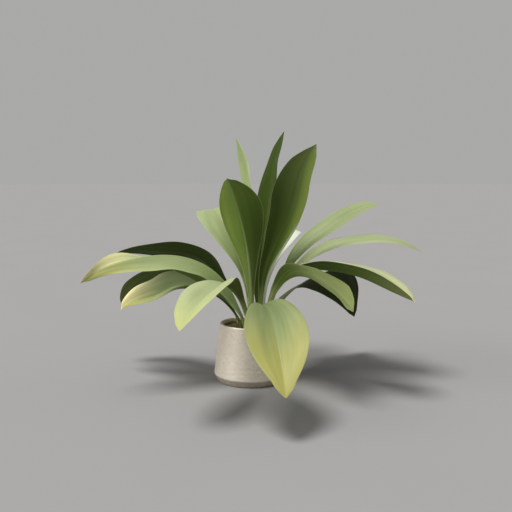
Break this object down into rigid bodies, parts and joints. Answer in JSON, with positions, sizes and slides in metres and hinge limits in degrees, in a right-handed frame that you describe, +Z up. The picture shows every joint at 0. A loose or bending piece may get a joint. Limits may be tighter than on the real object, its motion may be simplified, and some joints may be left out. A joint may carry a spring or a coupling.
{
  "type": "potted plant",
  "caption": "Potted cast iron plant: broad lance-shaped leaves on slim stalks rise and arch out of soil in a round tapered stone-look pot, for standing on a table or floor.",
  "frame": {"origin": "centre of the pot's flat underside, on the surface it stands on", "axes": "+Z up, -Y towards the front, +X to the right seen from the front"},
  "size_m": [0.6953, 0.6657, 0.5355],
  "materials": {
    "pot": "matt, faintly speckled",
    "soil": "crumbly",
    "rhizome": "rough",
    "leaf": "satin"
  },
  "bodies": {
    "root": {"pot": "pot", "soil": "soil", "rhizome": "rhizome", "leaf_rear_spear": "leaf", "leaf_centre_spear": "leaf", "leaf_front_upright": "leaf", "leaf_right_upright": "leaf", "leaf_rear_left": "leaf", "leaf_rear_right": "leaf", "leaf_right_rising": "leaf", "leaf_right_high": "leaf", "leaf_right_low": "leaf", "leaf_front_right": "leaf", "leaf_rear_right_low": "leaf", "leaf_front_drooping": "leaf", "leaf_front_left": "leaf", "leaf_left_long": "leaf", "leaf_left_rear": "leaf", "leaf_left_low": "leaf", "leaf_rear_left_low": "leaf"}
  },
  "joints": []
}
